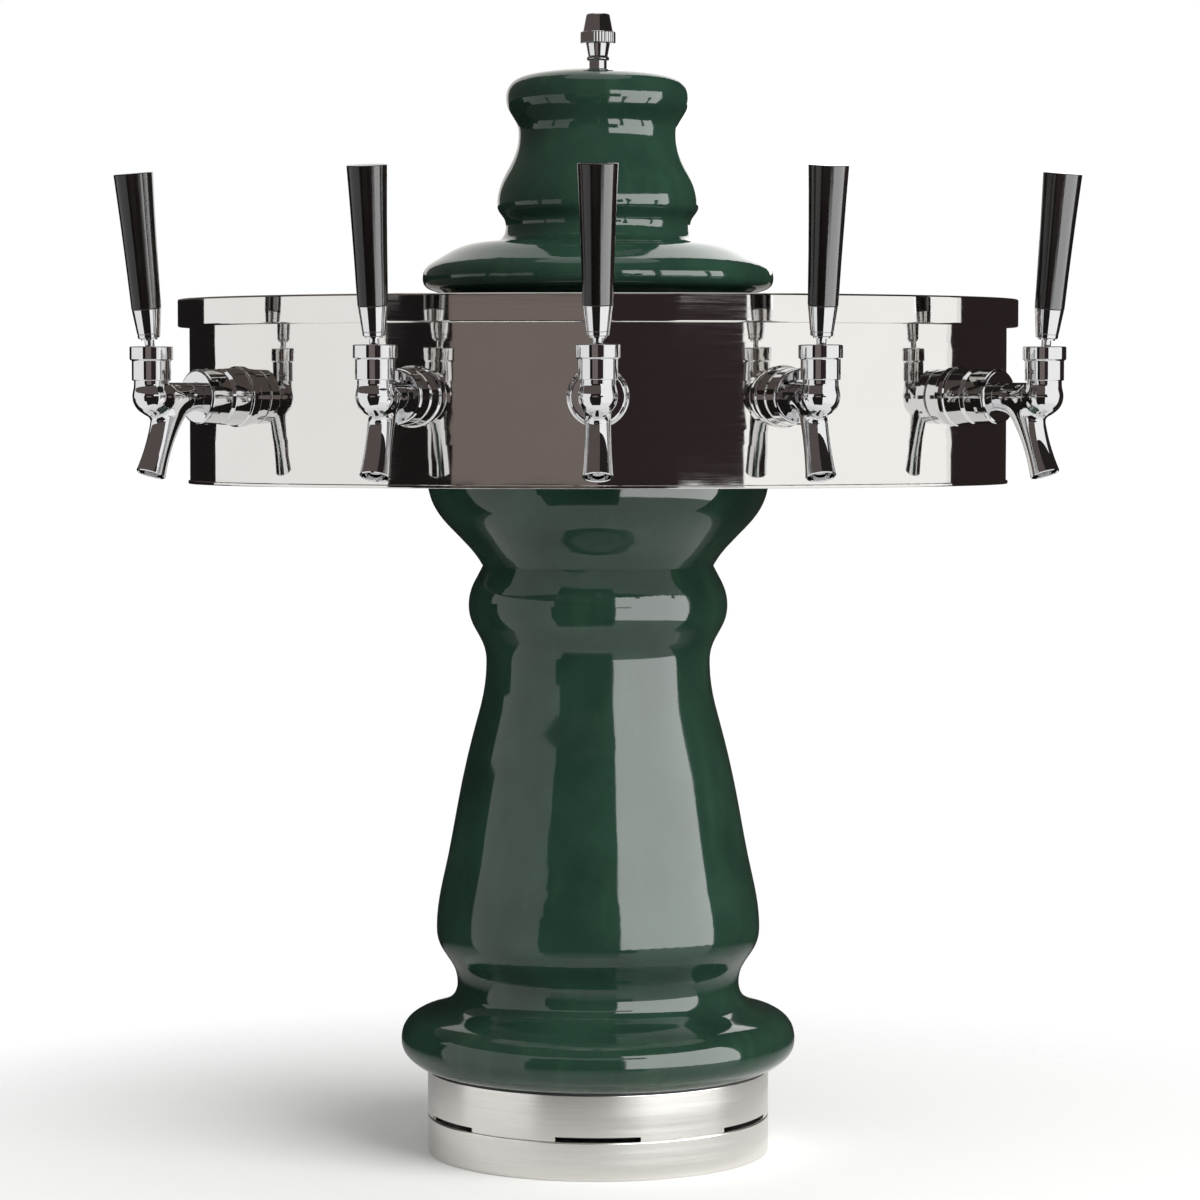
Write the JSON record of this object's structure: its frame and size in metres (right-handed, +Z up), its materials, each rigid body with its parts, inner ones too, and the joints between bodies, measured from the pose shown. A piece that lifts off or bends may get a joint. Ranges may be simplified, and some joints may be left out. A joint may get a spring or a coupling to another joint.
{
  "type": "beer tower",
  "caption": "Beer tower with taps fanned across an oval mirror-polished head, on a turned green ceramic column with a steel base ring and a ceramic cap.",
  "frame": {"origin": "centre of the base on the counter top, which is also the centre of the bolt circle", "axes": "+Z up, the taps face -Y, +X to the right seen from the front"},
  "size_m": [0.7908, 0.5843, 0.9885],
  "materials": {
    "mirror_steel": "mirror-polished stainless steel",
    "ring_steel": "turned and polished stainless steel",
    "green_glaze": "dark green glossy glaze",
    "inner_steel": "zinc-plated and plain steel",
    "gasket_rubber": "black rubber",
    "shank_brass": "turned brass",
    "line_tube": "milky beverage tube",
    "black_handle": "moulded black plastic, polished",
    "valve_brass": "turned brass",
    "chrome_plate": "chrome-plated brass, bright"
  },
  "bodies": {
    "root": {"base_plate": "inner_steel", "base_ring_lower": "ring_steel", "base_ring_upper": "ring_steel", "beverage_lines": "line_tube", "cap": "green_glaze", "cap_gasket": "gasket_rubber", "column": "green_glaze", "column_gasket": "gasket_rubber", "core_tube": "inner_steel", "finial": "chrome_plate", "finial_washer": "chrome_plate", "foot_gasket": "gasket_rubber", "head_floor": "mirror_steel", "head_lid": "mirror_steel", "head_plate": "inner_steel", "head_shell": "mirror_steel", "rod_nuts": "inner_steel", "shank_nuts": "inner_steel", "shanks": "shank_brass", "tap_1_body": "chrome_plate", "tap_1_bonnet": "chrome_plate", "tap_1_coupling_nut": "chrome_plate", "tap_1_flange": "chrome_plate", "tap_2_body": "chrome_plate", "tap_2_bonnet": "chrome_plate", "tap_2_coupling_nut": "chrome_plate", "tap_2_flange": "chrome_plate", "tap_3_body": "chrome_plate", "tap_3_bonnet": "chrome_plate", "tap_3_coupling_nut": "chrome_plate", "tap_3_flange": "chrome_plate", "tap_4_body": "chrome_plate", "tap_4_bonnet": "chrome_plate", "tap_4_coupling_nut": "chrome_plate", "tap_4_flange": "chrome_plate", "tap_5_body": "chrome_plate", "tap_5_bonnet": "chrome_plate", "tap_5_coupling_nut": "chrome_plate", "tap_5_flange": "chrome_plate", "tie_rod": "inner_steel"},
    "tap_1_lever_group": {"tap_1_lever": "chrome_plate", "tap_1_ferrule": "chrome_plate", "tap_1_handle": "black_handle"},
    "tap_1_valve_group": {"tap_1_valve_shaft": "valve_brass"},
    "tap_2_lever_group": {"tap_2_lever": "chrome_plate", "tap_2_ferrule": "chrome_plate", "tap_2_handle": "black_handle"},
    "tap_2_valve_group": {"tap_2_valve_shaft": "valve_brass"},
    "tap_3_lever_group": {"tap_3_lever": "chrome_plate", "tap_3_ferrule": "chrome_plate", "tap_3_handle": "black_handle"},
    "tap_3_valve_group": {"tap_3_valve_shaft": "valve_brass"},
    "tap_4_lever_group": {"tap_4_lever": "chrome_plate", "tap_4_ferrule": "chrome_plate", "tap_4_handle": "black_handle"},
    "tap_4_valve_group": {"tap_4_valve_shaft": "valve_brass"},
    "tap_5_lever_group": {"tap_5_lever": "chrome_plate", "tap_5_ferrule": "chrome_plate", "tap_5_handle": "black_handle"},
    "tap_5_valve_group": {"tap_5_valve_shaft": "valve_brass"}
  },
  "joints": [
    {"name": "tap_1_pull", "type": "hinge", "parent": "root", "child": "tap_1_lever_group", "pos_m": [-0.3669, -0.18119, 0.688], "axis": [0.6955, -0.7185, 0], "range_deg": [0, 20]},
    {"name": "tap_1_valve", "type": "slide", "parent": "root", "child": "tap_1_valve_group", "axis": [0.7185, 0.6955, 0], "range_m": [0, 0.01025]},
    {"name": "tap_2_pull", "type": "hinge", "parent": "root", "child": "tap_2_lever_group", "pos_m": [-0.1768, -0.29077, 0.688], "axis": [0.9581, -0.2865, 0], "range_deg": [0, 20]},
    {"name": "tap_2_valve", "type": "slide", "parent": "root", "child": "tap_2_valve_group", "axis": [0.2865, 0.9581, 0], "range_m": [0, 0.01025]},
    {"name": "tap_3_pull", "type": "hinge", "parent": "root", "child": "tap_3_lever_group", "pos_m": [0, -0.316, 0.688], "axis": [1, 0, 0], "range_deg": [0, 20]},
    {"name": "tap_3_valve", "type": "slide", "parent": "root", "child": "tap_3_valve_group", "axis": [0, 1, 0], "range_m": [0, 0.01025]},
    {"name": "tap_4_pull", "type": "hinge", "parent": "root", "child": "tap_4_lever_group", "pos_m": [0.1768, -0.29077, 0.688], "axis": [0.9581, 0.2865, 0], "range_deg": [0, 20]},
    {"name": "tap_4_valve", "type": "slide", "parent": "root", "child": "tap_4_valve_group", "axis": [-0.2865, 0.9581, 0], "range_m": [0, 0.01025]},
    {"name": "tap_5_pull", "type": "hinge", "parent": "root", "child": "tap_5_lever_group", "pos_m": [0.3669, -0.18119, 0.688], "axis": [0.6955, 0.7185, 0], "range_deg": [0, 20]},
    {"name": "tap_5_valve", "type": "slide", "parent": "root", "child": "tap_5_valve_group", "axis": [-0.7185, 0.6955, 0], "range_m": [0, 0.01025]}
  ],
  "couplings": [
    {"joint": "tap_1_valve", "follows": "tap_1_pull", "m_per_rad": 0.0288},
    {"joint": "tap_2_valve", "follows": "tap_2_pull", "m_per_rad": 0.0288},
    {"joint": "tap_3_valve", "follows": "tap_3_pull", "m_per_rad": 0.0288},
    {"joint": "tap_4_valve", "follows": "tap_4_pull", "m_per_rad": 0.0288},
    {"joint": "tap_5_valve", "follows": "tap_5_pull", "m_per_rad": 0.0288}
  ]
}
